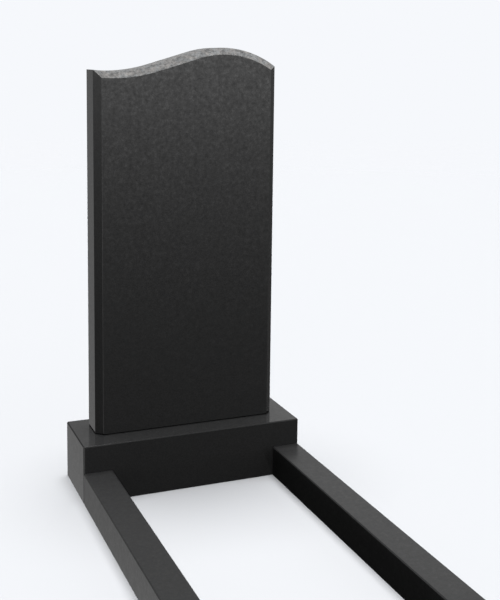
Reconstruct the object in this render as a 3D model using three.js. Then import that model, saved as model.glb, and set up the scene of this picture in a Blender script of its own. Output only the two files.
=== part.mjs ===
// Headstone set in polished black stone: an upright stele whose top runs in a wave,
// the plinth that carries it, and the three kerbs that border the plot in front of it.
//
// Millimetres, +Z up. X runs across the set, +X to the right of a person facing it,
// and the front of the stele faces -Y. The origin is on the ground, under the middle
// of the whole set. The plinth and the kerbs rest on the ground, at Z = 0.

import * as THREE from "three";

// The whole set
const SET_WIDTH = 600;
const SET_LENGTH = 1200;
const JOINT = 0.5; // the bed of setting adhesive between two stones
const ARRIS = 2.5; // the small 45 degree bevel ground along each sharp edge

// Plinth
const PLINTH_DEPTH = 200;
const PLINTH_HEIGHT = 150;

// Kerbs
const KERB_WIDTH = 75;
const KERB_HEIGHT = 80;

// Stele
const STELE_WIDTH = 500;
const STELE_THICKNESS = 90;
const STELE_SETBACK = 65; // from the front of the plinth to the front of the stele
const STELE_CHAMFER = 18; // 45 degree bevel round the front face, on both sides and the top

// Wave along the stele's top: a hollow arc on the left, a straight rise, a crown on the right.
// Heights are above the stele's foot and X is from its centre line.
const HOLLOW_X = -205;
const HOLLOW_HEIGHT = 949;
const HOLLOW_RADIUS = 400;
const CROWN_X = 100;
const CROWN_HEIGHT = 1012;
const CROWN_RADIUS = 260;
const ARC_STEPS = 12;

// Places worked out from the sizes above
const BACK_Y = SET_LENGTH / 2;
const FOOT_Y = -SET_LENGTH / 2;
const PLINTH_FRONT_Y = BACK_Y - PLINTH_DEPTH;
const KERB_X = (SET_WIDTH - KERB_WIDTH) / 2;
const KERB_LENGTH = PLINTH_FRONT_Y - JOINT - FOOT_Y;
const FOOT_KERB_LENGTH = SET_WIDTH - 2 * (KERB_WIDTH + JOINT);

// A closed body through a stack of outlines, all with the same number of points and
// counter-clockwise, each at its own level. The first and the last one are its flat ends.
function bodyThrough(layers) {
  const count = layers[0].outline.length;
  const positions = [];
  for (const { outline, level } of layers) {
    for (const point of outline) {
      positions.push(point.x, point.y, level);
    }
  }
  const faces = [];
  for (let layer = 1; layer < layers.length; layer += 1) {
    const upper = layer * count;
    const lower = upper - count;
    for (let i = 0; i < count; i += 1) {
      const next = (i + 1) % count;
      faces.push(lower + i, lower + next, upper + next);
      faces.push(lower + i, upper + next, upper + i);
    }
  }
  const top = (layers.length - 1) * count;
  for (const [a, b, c] of THREE.ShapeUtils.triangulateShape(layers[0].outline, [])) {
    faces.push(c, b, a);
  }
  for (const [a, b, c] of THREE.ShapeUtils.triangulateShape(layers.at(-1).outline, [])) {
    faces.push(top + a, top + b, top + c);
  }
  const shared = new THREE.BufferGeometry();
  shared.setAttribute("position", new THREE.Float32BufferAttribute(positions, 3));
  shared.setIndex(faces);
  const geometry = shared.toNonIndexed();
  geometry.computeVertexNormals();
  return geometry;
}

// The stele's outline seen from the front, foot at 0, drawn in by inset on both sides and
// along the top. Drawing in keeps both arcs' centres, so the chamfers meet in true mitres.
function steleOutline(inset) {
  const side = STELE_WIDTH / 2 - inset;
  const crownRadius = CROWN_RADIUS - inset;
  const hollowRadius = HOLLOW_RADIUS + inset;
  const crownCentre = CROWN_HEIGHT - CROWN_RADIUS;
  const hollowCentre = HOLLOW_HEIGHT + HOLLOW_RADIUS;

  // Slope of the straight rise: the line that touches both arcs from opposite sides.
  const run = CROWN_X - HOLLOW_X;
  const drop = crownCentre - hollowCentre;
  const between = Math.hypot(run, drop);
  const slope = Math.atan2(drop, run) + Math.asin((crownRadius + hollowRadius) / between);

  const crownStart = Math.acos((side - CROWN_X) / crownRadius);
  const crownEnd = Math.PI / 2 + slope;
  const hollowStart = slope - Math.PI / 2;
  const hollowEnd = -Math.acos((-side - HOLLOW_X) / hollowRadius);

  const outline = new THREE.Shape();
  outline.moveTo(-side, 0);
  outline.lineTo(side, 0);
  outline.absarc(CROWN_X, crownCentre, crownRadius, crownStart, crownEnd, false);
  outline.absarc(HOLLOW_X, hollowCentre, hollowRadius, hollowStart, hollowEnd, true);
  return outline.getPoints(ARC_STEPS);
}

// The stele lying on its back: a small arris round the back, a broad chamfer round the front.
function steleGeometry() {
  return bodyThrough([
    { outline: steleOutline(ARRIS), level: 0 },
    { outline: steleOutline(0), level: ARRIS },
    { outline: steleOutline(0), level: STELE_THICKNESS - STELE_CHAMFER },
    { outline: steleOutline(STELE_CHAMFER), level: STELE_THICKNESS },
  ]);
}

// A sawn block centred on its own origin, standing on level 0. Its top edges carry the
// arris on the sides named in open, and stay sharp where another stone butts against them.
function blockGeometry(width, depth, height, open) {
  const rectangle = (easing) => {
    const left = -width / 2 + (open.includes("left") ? easing : 0);
    const right = width / 2 - (open.includes("right") ? easing : 0);
    const front = -depth / 2 + (open.includes("front") ? easing : 0);
    const back = depth / 2 - (open.includes("back") ? easing : 0);
    return [
      new THREE.Vector2(left, front),
      new THREE.Vector2(right, front),
      new THREE.Vector2(right, back),
      new THREE.Vector2(left, back),
    ];
  };
  return bodyThrough([
    { outline: rectangle(0), level: 0 },
    { outline: rectangle(0), level: height - ARRIS },
    { outline: rectangle(ARRIS), level: height },
  ]);
}

const set = new THREE.Group();

function addStone(name, geometry, colour, roughness, x, y, z) {
  const material = new THREE.MeshStandardMaterial({ color: colour, roughness, metalness: 0 });
  const stone = new THREE.Mesh(geometry, material);
  stone.name = name;
  stone.position.set(x, y, z);
  set.add(stone);
  return stone;
}

// Plinth, the full width of the set, with all four top edges eased.
const allRound = ["left", "right", "front", "back"];
const plinthGeometry = blockGeometry(SET_WIDTH, PLINTH_DEPTH, PLINTH_HEIGHT, allRound);
addStone("plinth", plinthGeometry, "#1f2022", 0.2, 0, PLINTH_FRONT_Y + PLINTH_DEPTH / 2, 0);

// Stele, turned up from its back so that its front faces -Y.
const steleBack = PLINTH_FRONT_Y + STELE_SETBACK + STELE_THICKNESS;
const steleFoot = PLINTH_HEIGHT + JOINT;
const stele = addStone("stele", steleGeometry(), "#26272a", 0.25, 0, steleBack, steleFoot);
stele.rotation.x = Math.PI / 2;

// Side kerbs, flush with the plinth's ends, their back ends butted against its front.
for (const [name, side] of [["kerb_left", -1], ["kerb_right", 1]]) {
  const open = ["left", "right", "front"];
  const geometry = blockGeometry(KERB_WIDTH, KERB_LENGTH, KERB_HEIGHT, open);
  addStone(name, geometry, "#222325", 0.2, side * KERB_X, FOOT_Y + KERB_LENGTH / 2, 0);
}

// Foot kerb, set between the side kerbs.
const footGeometry = blockGeometry(FOOT_KERB_LENGTH, KERB_WIDTH, KERB_HEIGHT, ["front", "back"]);
addStone("kerb_foot", footGeometry, "#222325", 0.2, 0, FOOT_Y + KERB_WIDTH / 2, 0);

export default set;
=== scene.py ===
"""Looks of a polished black memorial set: plinth, stele with a wavy top, and three kerbs round the plot.

Metres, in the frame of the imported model: X across the set, -Y to the front, Z up from the ground.
"""

import math

import bpy
import numpy as np
from mathutils import Matrix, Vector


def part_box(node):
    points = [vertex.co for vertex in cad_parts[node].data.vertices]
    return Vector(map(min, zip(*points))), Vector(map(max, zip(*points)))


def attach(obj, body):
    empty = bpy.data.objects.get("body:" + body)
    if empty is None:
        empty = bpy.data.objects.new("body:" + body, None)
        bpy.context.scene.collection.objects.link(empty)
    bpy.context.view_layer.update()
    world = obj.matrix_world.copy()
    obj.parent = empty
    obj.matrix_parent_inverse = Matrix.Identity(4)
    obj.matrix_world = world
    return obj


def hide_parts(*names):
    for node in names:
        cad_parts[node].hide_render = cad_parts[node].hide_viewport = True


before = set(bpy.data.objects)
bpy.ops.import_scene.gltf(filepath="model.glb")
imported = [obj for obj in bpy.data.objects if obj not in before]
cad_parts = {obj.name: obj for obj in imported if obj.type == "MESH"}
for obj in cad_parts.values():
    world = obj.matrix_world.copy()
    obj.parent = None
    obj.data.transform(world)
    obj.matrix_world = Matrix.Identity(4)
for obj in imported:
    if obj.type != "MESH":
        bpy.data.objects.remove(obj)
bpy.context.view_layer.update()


# Plinth: one sawn block of fine black gabbro, all faces polished to a mirror and every edge
# eased by hand to a small round, so that it neither chips nor cuts. It lies on the ground
# and carries the stele.

PLINTH_BEVEL = 0.0025
PLINTH_CORNER = 0.004
BUTT_CORNER = 0.0004
CORNER_STEPS = 5
BEVEL_STEPS = 7
BEVEL_POWER = 1.9


def block_outline(low, high, eased, corner, inset):
    """Plan of a block, counter-clockwise, drawn in by inset on the sides named in eased.

    A corner's points are its centre plus its radius times (cos, sin) of angles that run
    through a right angle. Between two eased sides the radius is corner less inset, so the
    corner stays concentric as it draws in, and at a butt joint it is all but sharp.
    Returns x, y, and which of the points end a flat side.
    """
    drawn = {side: inset * (side in eased) for side in ("left", "right", "front", "back")}
    ring = (("left", "front"), ("right", "front"), ("right", "back"), ("left", "back"))
    turn = np.linspace(0.0, math.pi / 2, CORNER_STEPS)
    x, y = [], []
    for number, (across, along) in enumerate(ring):
        inward_x, edge_x = (1, low.x) if across == "left" else (-1, high.x)
        inward_y, edge_y = (1, low.y) if along == "front" else (-1, high.y)
        radius = corner - inset if across in eased and along in eased else BUTT_CORNER
        angle = turn + (number - 2) * math.pi / 2
        x.append(edge_x + inward_x * (drawn[across] + radius) + radius * np.cos(angle))
        y.append(edge_y + inward_y * (drawn[along] + radius) + radius * np.sin(angle))
    breaks = np.zeros((4, CORNER_STEPS), bool)
    breaks[:, [0, -1]] = True
    return np.concatenate(x), np.concatenate(y), breaks.ravel()


def stone_body(name, rings, broken_points, broken_levels):
    """A closed mesh through a stack of outlines, given as levels by points by three numbers.

    The quad between two levels and two neighbouring points joins their four vertices, and the
    first and the last outline are the two ends. Shading is smooth, and it breaks along each
    level and each point that ends a flat stretch, so flat faces stay true in a reflection.
    """
    levels, points = rings.shape[:2]
    level, point = np.meshgrid(np.arange(levels - 1), np.arange(points), indexing="ij")
    here = level * points + point
    beside = level * points + (point + 1) % points
    quads = np.stack([here, beside, beside + points, here + points], -1).reshape(-1, 4)
    first = np.arange(points)[::-1]
    last = np.arange(points) + (levels - 1) * points
    mesh = bpy.data.meshes.new(name)
    mesh.from_pydata(rings.reshape(-1, 3), [], quads.tolist() + [first.tolist(), last.tolist()])
    mesh.shade_smooth()

    ends = np.empty(len(mesh.edges) * 2, np.int32)
    mesh.edges.foreach_get("vertices", ends)
    a, b = ends.reshape(-1, 2).T
    along = a // points == b // points
    sharp = np.where(along, broken_levels[a // points], broken_points[a % points])
    mesh.attributes.new("sharp_edge", "BOOLEAN", "EDGE").data.foreach_set("value", sharp)
    return mesh


def place_stone(mesh, node, materials):
    """The finished stone: its object at the origin, in the place of its node on the frame."""
    stone = bpy.data.objects.new(mesh.name, mesh)
    bpy.context.scene.collection.objects.link(stone)
    for material in materials:
        mesh.materials.append(material)
    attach(stone, "root")
    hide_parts(node)
    return stone


def block_body(name, node, eased, corner, bevel):
    """A block with a bevel round its top, whose two edges the polishing pad has softened.

    The bevel's section is bevel times (1 - cos^1.9, 1 - sin^1.9) of an angle that runs
    through a right angle: close to a straight 45 degree cut, and rounded where it ends.
    """
    low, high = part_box(node)
    angle = np.linspace(0.0, math.pi / 2, BEVEL_STEPS)
    drop = bevel * (1.0 - np.sin(angle) ** BEVEL_POWER)
    drawn_in = bevel * (1.0 - np.abs(np.cos(angle)) ** BEVEL_POWER)
    rings = []
    for height, inset in zip([low.z, *(high.z - drop)], [0.0, *drawn_in]):
        x, y, breaks = block_outline(low, high, eased, corner, inset)
        rings.append(np.stack([x, y, np.full_like(x, height)], -1))
    broken_levels = np.zeros(len(rings), bool)
    broken_levels[[0, 1, -1]] = True
    return stone_body(name, np.array(rings), breaks, broken_levels)


class Wire:
    """An output socket of a shader. Arithmetic on wires and numbers adds the Math nodes."""

    def __init__(self, nodes, socket=None):
        self.nodes = nodes
        self.socket = socket

    def add(self, kind, settings=None, inputs=None, output=0):
        """A new node: its settings first, then its inputs by name or number, as values or wires."""
        node = self.nodes.new(kind)
        for setting, value in (settings or {}).items():
            setattr(node, setting, value)
        for key, value in (inputs or {}).items():
            if isinstance(value, Wire):
                self.nodes.id_data.links.new(value.socket, node.inputs[key])
            else:
                node.inputs[key].default_value = value
        return Wire(self.nodes, node.outputs[output])

    def math(self, operation, *values, clamp=False):
        settings = {"operation": operation, "use_clamp": clamp}
        return self.add("ShaderNodeMath", settings, dict(enumerate(values)))

    def __add__(self, other):
        return self.math("ADD", self, other)

    def __sub__(self, other):
        return self.math("SUBTRACT", self, other)

    def __rsub__(self, other):
        return self.math("SUBTRACT", other, self)

    def __mul__(self, other):
        return self.math("MULTIPLY", self, other)

    def __truediv__(self, other):
        return self.math("DIVIDE", self, other)

    def __neg__(self):
        return self.math("MULTIPLY", self, -1.0)

    __radd__ = __add__
    __rmul__ = __mul__

    def ramp(self, low, high):
        """Nought where this wire is at low, one where it is at high, smooth between."""
        settings = {"interpolation_type": "SMOOTHSTEP"}
        return self.add("ShaderNodeMapRange", settings, {0: self, 1: low, 2: high})

    def blend(self, low, high):
        """Colour low where this wire is nought and colour high where it is one."""
        return self.add("ShaderNodeMix", {"data_type": "RGBA"}, {0: self, 6: low, 7: high}, 2)

    def noise(self, scale, detail=2.0, roughness=0.5):
        inputs = {"Vector": self, "Scale": scale, "Detail": detail, "Roughness": roughness}
        return self.add("ShaderNodeTexNoise", {}, inputs)

    def cells(self, scale):
        """A random number for each crystal of a packed grain."""
        colour = self.add("ShaderNodeTexVoronoi", {}, {"Vector": self, "Scale": scale}, "Color")
        return self.add("ShaderNodeSeparateColor", {}, {0: colour})

    def feed(self, shader, socket):
        self.nodes.id_data.links.new(self.socket, shader.inputs[socket])


def new_material(name):
    """A new material, its shader, and the place on the object that its patterns read."""
    material = bpy.data.materials.new(name)
    material.use_nodes = True
    nodes = material.node_tree.nodes
    place = Wire(nodes).add("ShaderNodeTexCoord", output="Object")
    return material, nodes["Principled BSDF"], place


def polished_stone(name, roughness, coat_roughness, speckle, lightness=1.0):
    """Near-black gabbro: dark pyroxene with greyer feldspar grains of about 2 mm.

    Feldspar takes a brighter polish than pyroxene, so the coat's weight follows the grain:
    the speckle shows where the stone mirrors something light and fades where it is dark.
    """
    material, shader, place = new_material(name)
    grain = place.cells(520.0)
    fleck = place.noise(210.0, 2.0, 0.6)
    clot = place.noise(92.0, 2.0, 0.55)
    tone = grain * 0.5 + fleck * 0.35 + clot * 0.15
    dark = (0.0158 * lightness, 0.016 * lightness, 0.0163 * lightness, 1)
    light = (0.0295 * lightness, 0.0297 * lightness, 0.03 * lightness, 1)
    tone.blend(dark, light).feed(shader, "Base Color")
    (fleck * 0.06 + (roughness - 0.03)).feed(shader, "Roughness")
    lustre = (clot - 0.5) * 1.5 + (fleck - 0.5) * 0.8 + (grain - 0.5) * 0.25
    glint = (lustre - 0.12).math("MAXIMUM", lustre - 0.12, 0.0)
    shine = (lustre + glint * 0.8) * speckle + 0.4
    shine.math("MAXIMUM", shine, 0.0, clamp=True).feed(shader, "Coat Weight")
    shader.inputs["IOR"].default_value = 1.38
    shader.inputs["Coat IOR"].default_value = 1.5
    shader.inputs["Coat Roughness"].default_value = coat_roughness
    return material


POLISHED = polished_stone("polished black gabbro", 0.13, 0.06, speckle=0.3)

all_round = ("left", "right", "front", "back")
plinth_mesh = block_body("plinth_block", "plinth", all_round, PLINTH_CORNER, PLINTH_BEVEL)
plinth = place_stone(plinth_mesh, "plinth", [POLISHED])

# The plinth and the kerbs mirror the stele but are not mirrored themselves, because their
# image would lie as a pale strip along the foot of the stele's dark face.
plinth.visible_glossy = False


# Stele: a slab of the same gabbro, sawn to a wave along the top. Face, sides and the bevel down
# both sides are polished. The top edge and the bevel under it are only ground, which leaves
# them light grey, and the back is honed. It stands on the plinth in a thin bed of adhesive.

HOLLOW_X = -0.205
HOLLOW_HEIGHT = 0.949
HOLLOW_RADIUS = 0.400
CROWN_X = 0.100
CROWN_HEIGHT = 1.012
CROWN_RADIUS = 0.260
WAVE_STEPS = 40
BEVEL = 0.018
BACK_ROUND = 0.0025
RIM_ROUND = 0.002
RIM_STEPS = 4
FACE_ROUND = 0.0015
FACE_STEPS = 5
FOOT_EASE = 0.002

stele_low, stele_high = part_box("stele")
half_width = (stele_high.x - stele_low.x) / 2


def stele_outline(inset, lift):
    """The slab seen from the front, counter-clockwise: foot, right side, wave, left side.

    The wave is two arcs and the line that touches both. A point of an arc is its centre plus
    its radius times (cos, sin) of an angle. Drawing the outline in by inset takes it off the
    crown's radius and adds it to the hollow's, and moves each side in. Only lift moves the
    foot, whose two corners are eased so that a fine dark joint shows above the plinth.
    """
    side = half_width - inset
    crown_radius = CROWN_RADIUS - inset
    hollow_radius = HOLLOW_RADIUS + inset
    crown_centre = CROWN_HEIGHT - CROWN_RADIUS
    hollow_centre = HOLLOW_HEIGHT + HOLLOW_RADIUS
    run = CROWN_X - HOLLOW_X
    drop = crown_centre - hollow_centre
    reach = (crown_radius + hollow_radius) / math.hypot(run, drop)
    slope = math.atan2(drop, run) + math.asin(reach)

    crown_start = math.acos((side - CROWN_X) / crown_radius)
    crown = np.linspace(crown_start, math.pi / 2 + slope, WAVE_STEPS)
    hollow_end = -math.acos((-side - HOLLOW_X) / hollow_radius)
    hollow = np.linspace(slope - math.pi / 2, hollow_end, WAVE_STEPS)
    crown_x = CROWN_X + crown_radius * np.cos(crown)
    crown_z = crown_centre + crown_radius * np.sin(crown)
    hollow_x = HOLLOW_X + hollow_radius * np.cos(hollow)
    hollow_z = hollow_centre + hollow_radius * np.sin(hollow)
    foot_x = [FOOT_EASE - side, side - FOOT_EASE, side]
    x = np.concatenate([foot_x, crown_x, hollow_x, [-side]])
    z = np.concatenate([[lift, lift, lift + FOOT_EASE], crown_z, hollow_z, [lift + FOOT_EASE]])
    return x, stele_low.z + z


def stele_body(name):
    """The outline carried from the back to the front through a section of the rim.

    The section is a quarter round at the back, the flat rim, and the 45 degree bevel with an
    arc at each of its edges. A point of an arc is its centre plus its radius times
    (sin, cos) of the angle through which the surface has turned from the rim to the face.
    """
    thickness = stele_high.y - stele_low.y
    touch = math.tan(math.pi / 8)
    back = np.linspace(-math.pi / 2, 0.0, CORNER_STEPS)
    rim = np.linspace(0.0, math.pi / 4, RIM_STEPS)
    face = np.linspace(math.pi / 4, math.pi / 2, FACE_STEPS)
    rim_centre = thickness - BEVEL - RIM_ROUND * touch
    face_centre = thickness - FACE_ROUND
    forward = [BACK_ROUND * (1.0 + np.sin(back)), rim_centre + RIM_ROUND * np.sin(rim)]
    forward += [face_centre + FACE_ROUND * np.sin(face)]
    inset = [BACK_ROUND * (1.0 - np.cos(back)), RIM_ROUND * (1.0 - np.cos(rim))]
    inset += [BEVEL + FACE_ROUND * (touch - np.cos(face))]
    forward = np.concatenate(forward)
    lift = np.clip(np.maximum(FOOT_EASE - forward, forward - thickness + FOOT_EASE), 0.0, None)
    rings = []
    for depth, drawn_in, raised in zip(forward, np.concatenate(inset), lift):
        x, z = stele_outline(drawn_in, raised)
        rings.append(np.stack([x, np.full_like(x, stele_high.y - depth), z], -1))
    broken_points = np.zeros(len(x), bool)
    broken_points[[0, 1, 2, 3, -2, -1]] = True
    arc_ends = np.cumsum([0, CORNER_STEPS, RIM_STEPS, FACE_STEPS])
    broken_levels = np.zeros(len(rings), bool)
    broken_levels[arc_ends[:-1]] = True
    broken_levels[arc_ends[1:] - 1] = True
    return stone_body(name, np.array(rings), broken_points, broken_levels)


def ground_stone(name, lightness):
    """The same gabbro rubbed with coarse abrasive: bruised crystals scatter the light.

    Feldspar bruises white and pyroxene stays dark, in mottles that lean to a cool or a warm
    grey. The fall of the crown, on the right, is painted paler: painted light, where that slope turns
    away from the studio's light.
    """
    material, shader, place = new_material(name)
    grain = place.cells(420.0)
    fleck = place.noise(190.0, 3.0, 0.65)
    clot = place.noise(100.0, 2.0, 0.6)
    patch = place.noise(45.0, 2.0, 0.5)
    hue = place.noise(75.0, 1.0, 0.5).ramp(0.36, 0.64)
    # Painted light: the tone rises towards the right end of the crown, where its fall faces away from
    # the light.
    painted_light_crown_fall = place.add("ShaderNodeSeparateXYZ", {}, {0: place}, "X").ramp(0.09, 0.2)
    tone = (grain - 0.5) * 0.3 + (fleck - 0.5) * 0.9 + (clot - 0.5) * 1.3 + (patch - 0.5) * 0.6
    tone = tone + painted_light_crown_fall * 0.12 + 0.45
    dark = (0.055 * lightness, 0.056 * lightness, 0.057 * lightness, 1)
    cool = (0.246 * lightness, 0.253 * lightness, 0.256 * lightness, 1)
    warm = (0.262 * lightness, 0.252 * lightness, 0.243 * lightness, 1)
    held = tone.math("MAXIMUM", tone, 0.0, clamp=True)
    held.blend(dark, hue.blend(cool, warm)).feed(shader, "Base Color")
    (fleck * 0.2 + 0.7).feed(shader, "Roughness")
    shader.inputs["Specular IOR Level"].default_value = 0.2
    relief = fleck + grain * 0.4
    bump = relief.add("ShaderNodeBump", {}, {"Height": relief, "Strength": 1.0, "Distance": 1e-4})
    bump.feed(shader, "Normal")
    return material


# The top edge is the same ground stone at nine tenths of the bevel's lightness: painted shade, which
# keeps the top darker than the bevel although the light from above falls more fully on it.
GROUND_BEVEL = ground_stone("ground bevel", 1.0)
SHADED_GROUND_TOP = ground_stone("ground top edge", 0.9)
MIRROR = polished_stone("mirror polished face", 0.13, 0.06, speckle=0.82)
HONED = polished_stone("honed back", 0.42, 0.42, speckle=0.6)

# Each row of quads lies between two levels, from the back forward, and the bevel with the arc
# at its inner edge is the last few. Along a row the wave comes after the foot and the right
# side, and before the left side. The two ends of the slab are the back and the face.
stele_mesh = stele_body("stele_slab")
stele_points = 2 * WAVE_STEPS + 4
stele_levels = CORNER_STEPS + RIM_STEPS + FACE_STEPS
finish = np.zeros((stele_levels - 1, stele_points), np.int32)
finish[:-FACE_STEPS, 3:-2] = 1
finish[-FACE_STEPS:, 3:-2] = 2
stele_mesh.polygons.foreach_set("material_index", np.append(finish.ravel(), [3, 4]))
stele_materials = [POLISHED, SHADED_GROUND_TOP, GROUND_BEVEL, HONED, MIRROR]
place_stone(stele_mesh, "stele", stele_materials)


# Kerbs: three square bars of the same stone, rubbed to a satin polish, with bevelled edges.
# The long ones butt against the plinth, flush with its ends, and the short one closes the
# plot between them at the foot.

KERB_BEVEL = 0.0025
KERB_CORNER = 0.004
SATIN = polished_stone("satin black gabbro", 0.34, 0.28, speckle=0.3, lightness=0.95)

open_sides = {
    "kerb_left": ("left", "right", "front"),
    "kerb_right": ("left", "right", "front"),
    "kerb_foot": ("front", "back"),
}
for kerb, eased in open_sides.items():
    kerb_mesh = block_body(kerb + "_bar", kerb, eased, KERB_CORNER, KERB_BEVEL)
    bar = place_stone(kerb_mesh, kerb, [SATIN])
    bar.visible_glossy = False


# Stage: a plain pale floor that fades out with distance, in a studio with one round softbox
# straight above. The stones mirror its graded walls, two low panels, and a few dark cards
# that stand close to them.

FLOOR_REACH = 14.0
FLOOR_FADE = 3.0
FLOOR_COLOUR = (0.4247, 0.4327, 0.4487, 1)
CARD_COLOUR = (0.005, 0.005, 0.005, 1)
BACKGROUND = (0.922, 0.939, 0.973, 1)


def matt(name, colour):
    """A material with no shine at all, for the stage. Returns what new_material does."""
    material, shader, place = new_material(name)
    shader.inputs["Base Color"].default_value = colour
    shader.inputs["Roughness"].default_value = 1.0
    shader.inputs["Specular IOR Level"].default_value = 0.0
    return material, shader, place


def stage_cards(name, corners, material):
    """Flat pieces of the studio in one object, given as cards by four corners by three numbers.

    A card faces the side from which its corners run counter-clockwise.
    """
    corners = np.asarray(corners).reshape(-1, 3)
    faces = np.arange(len(corners)).reshape(-1, 4)
    mesh = bpy.data.meshes.new(name)
    mesh.from_pydata(corners, [], faces.tolist())
    mesh.materials.append(material)
    cards = bpy.data.objects.new(name, mesh)
    bpy.context.scene.collection.objects.link(cards)
    return cards


# The floor lights nothing from below: the stones neither mirror it nor catch its bounce.
floor_material, floor_shader, floor_place = matt("pale floor", FLOOR_COLOUR)
away = floor_place.add("ShaderNodeVectorMath", {"operation": "LENGTH"}, {0: floor_place}, "Value")
(1.0 - away.ramp(FLOOR_FADE, FLOOR_REACH - 1.0)).feed(floor_shader, "Alpha")
square = FLOOR_REACH * np.array([[-1, -1, 0], [1, -1, 0], [1, 1, 0], [-1, 1, 0]])
floor = stage_cards("floor", square, floor_material)
floor.visible_glossy = False
floor.visible_diffuse = False

# The cards are dark from the side that they face and clear from behind. None is seen by the
# camera, and none throws a shadow.
card_material, card_shader, card_place = matt("dark card", CARD_COLOUR)
from_behind = card_place.add("ShaderNodeNewGeometry", output="Backfacing")
(1.0 - from_behind).feed(card_shader, "Alpha")

# One card leans out from the foot of the right kerb's inner side and keeps soft light off it.
LEAN_OUT = 0.03
LEAN_LOW = 0.001
LEAN_HIGH = 0.075

kerb_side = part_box("kerb_right")[0].x
plot_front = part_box("kerb_foot")[1].y
plinth_low, plinth_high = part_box("plinth")
plot_back = plinth_low.y
lean_x = kerb_side - np.array([0.0, 0.0, LEAN_OUT, LEAN_OUT])
lean_y = np.array([plot_front, plot_back, plot_back, plot_front])
lean_z = np.array([LEAN_LOW, LEAN_LOW, LEAN_HIGH, LEAN_HIGH])
leaning = stage_cards("leaning_flag", np.stack([lean_x, lean_y, lean_z], -1), card_material)
leaning.visible_camera = False
leaning.visible_shadow = False
leaning.visible_glossy = False

# The other cards are only mirrored. Slats along the same side of the kerb turn away from the
# plinth, so that the plinth's front mirrors none of them.
SLATS = 88
SLAT_GAP = 0.0005
SLAT_OUT = 0.003
SLAT_TURN = 0.006
SLAT_LOW = -0.01
SLAT_HIGH = 0.078

slat_x = kerb_side - SLAT_GAP - np.array([SLAT_OUT, 0.0, 0.0, SLAT_OUT])
slat_start = np.linspace(plot_front + SLAT_TURN, plot_back - SLAT_GAP, SLATS)
slat_y = slat_start[:, None] - np.array([SLAT_TURN, 0.0, 0.0, SLAT_TURN])
slat_z = np.array([SLAT_LOW, SLAT_LOW, SLAT_HIGH, SLAT_HIGH])
slats = np.stack(np.broadcast_arrays(slat_x, slat_y, slat_z), -1)

# A screen stands for the plinth's front, as the tops of the kerbs mirror it.
SCREEN_BEHIND = 0.001
SCREEN_HEIGHT = 0.12

screen_x = [plinth_low.x, plinth_high.x, plinth_high.x, plinth_low.x]
screen_z = [0.0, 0.0, SCREEN_HEIGHT, SCREEN_HEIGHT]
screen = np.stack([screen_x, np.full(4, plot_back + SCREEN_BEHIND), screen_z], -1)

# A sheet in the joint under the stele stands for the plinth's top there.
SHEET_ABOVE = 0.0001
SHEET_REACH = 0.003

sheet_left = stele_low.x - SHEET_REACH
sheet_right = stele_high.x + SHEET_REACH
sheet_front = stele_low.y - SHEET_REACH
sheet_back = stele_high.y + SHEET_REACH
sheet_x = [sheet_left, sheet_right, sheet_right, sheet_left]
sheet_y = [sheet_front, sheet_front, sheet_back, sheet_back]
sheet = np.stack([sheet_x, sheet_y, np.full(4, plinth_high.z + SHEET_ABOVE)], -1)

mirrored = stage_cards("mirrored_flags", np.concatenate([slats, [screen], [sheet]]), card_material)
mirrored.visible_camera = False
mirrored.visible_shadow = False
mirrored.visible_diffuse = False

world = bpy.data.worlds.new("studio")
world.use_nodes = True
bpy.context.scene.world = world
nodes = world.node_tree.nodes
direction = Wire(nodes).add("ShaderNodeTexCoord", output="Generated")
east = direction.add("ShaderNodeSeparateXYZ", {}, {0: direction}, "X")
north = direction.add("ShaderNodeSeparateXYZ", {}, {0: direction}, "Y")
rise = direction.add("ShaderNodeSeparateXYZ", {}, {0: direction}, "Z")

# Below the horizon: in front a glow that dies away downwards, which grades the stele's face,
# a steady light behind, which the left sides mirror, and the two panels at the other corners.
sunk = rise.math("MINIMUM", rise, 0.0)
glow = sunk.math("EXPONENT", sunk / 0.115) * 1.5 * (1.0 - rise.ramp(0.0, 0.2) * 0.78)
in_front = (-north).ramp(-0.7, 1.05) * glow
behind = 0.21 - sunk * 0.14 + (-sunk).ramp(0.37, 0.58) * 0.2
behind = (north * 0.9 - east * 0.4).ramp(0.4, 0.75) * behind
on_right = east.ramp(0.5, 0.8) * 0.04
lower = in_front + behind + on_right + 0.025
front_left_panel = (east * -0.669 + north * -0.669 + rise * -0.325).ramp(0.9, 0.97)
back_right_panel = (east * 0.667 + north * 0.667 + rise * -0.33).ramp(0.95, 0.98)

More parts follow.
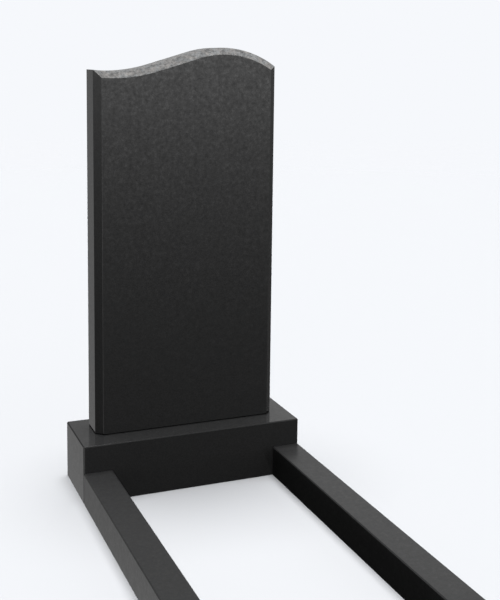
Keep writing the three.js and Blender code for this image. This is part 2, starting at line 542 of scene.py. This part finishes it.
# Above it: the walls, with a dark strip low on the left behind that draws the eased edges,
# and the softbox.
strip = north.ramp(0.4, 0.6) * (-east).ramp(0.28, 0.34) * (1.0 - rise.ramp(0.26, 0.34))
back_wall = (east.ramp(0.2, 0.42) * 0.17 + 0.26) * (1.0 - strip * 0.9)
back_wall = back_wall * (1.0 - rise.ramp(0.33, 0.55) * 0.6)
front_wall = (east * 0.5 - north * 0.866).ramp(0.0, 0.7) * 0.5 * (1.0 - rise.ramp(0.6, 0.85))
upper = back_wall + front_wall
softbox = (rise * 0.9975 + north * 0.07).ramp(0.93, 0.96) * 18.0

raised = rise.ramp(0.0, 0.12)
light = lower * (1.0 - raised) + upper * raised
light = light + softbox + front_left_panel + back_right_panel
seen = direction.add("ShaderNodeLightPath", output="Is Camera Ray")
lamp = direction.add("ShaderNodeBackground", {}, {"Color": (1, 1, 1, 1), "Strength": light})
wall = direction.add("ShaderNodeBackground", {}, {"Color": BACKGROUND, "Strength": 1.0})
both = direction.add("ShaderNodeMixShader", {}, {0: seen, 1: lamp, 2: wall})
world.node_tree.links.new(both.socket, nodes["World Output"].inputs["Surface"])

scene = bpy.context.scene
scene.view_settings.view_transform = "Standard"


# Camera: level with the stele's top, about 22 degrees to the left of the front. It is tipped
# down a little, and a shift of the lens does the rest, so that the uprights stay all but
# parallel, as they are in the photograph.

CAMERA_PLACE = (-0.860, -2.047, 1.129)
CAMERA_YAW = math.radians(22.38)
CAMERA_PITCH = math.radians(6.70)
CAMERA_ROLL = math.radians(0.68)
FILM_WIDTH = 36.0
LENS = 60.89
LENS_SHIFT = -0.2

camera_data = bpy.data.cameras.new("camera")
camera_data.sensor_width = FILM_WIDTH
camera_data.lens = LENS
camera_data.shift_y = LENS_SHIFT
camera = bpy.data.objects.new("camera", camera_data)
scene.collection.objects.link(camera)
heading = Matrix.Rotation(-CAMERA_YAW, 4, "Z")
tilt = Matrix.Rotation(math.pi / 2 - CAMERA_PITCH, 4, "X")
roll = Matrix.Rotation(CAMERA_ROLL, 4, "Z")
camera.location = CAMERA_PLACE
camera.rotation_euler = (heading @ tilt @ roll).to_euler()
scene.camera = camera
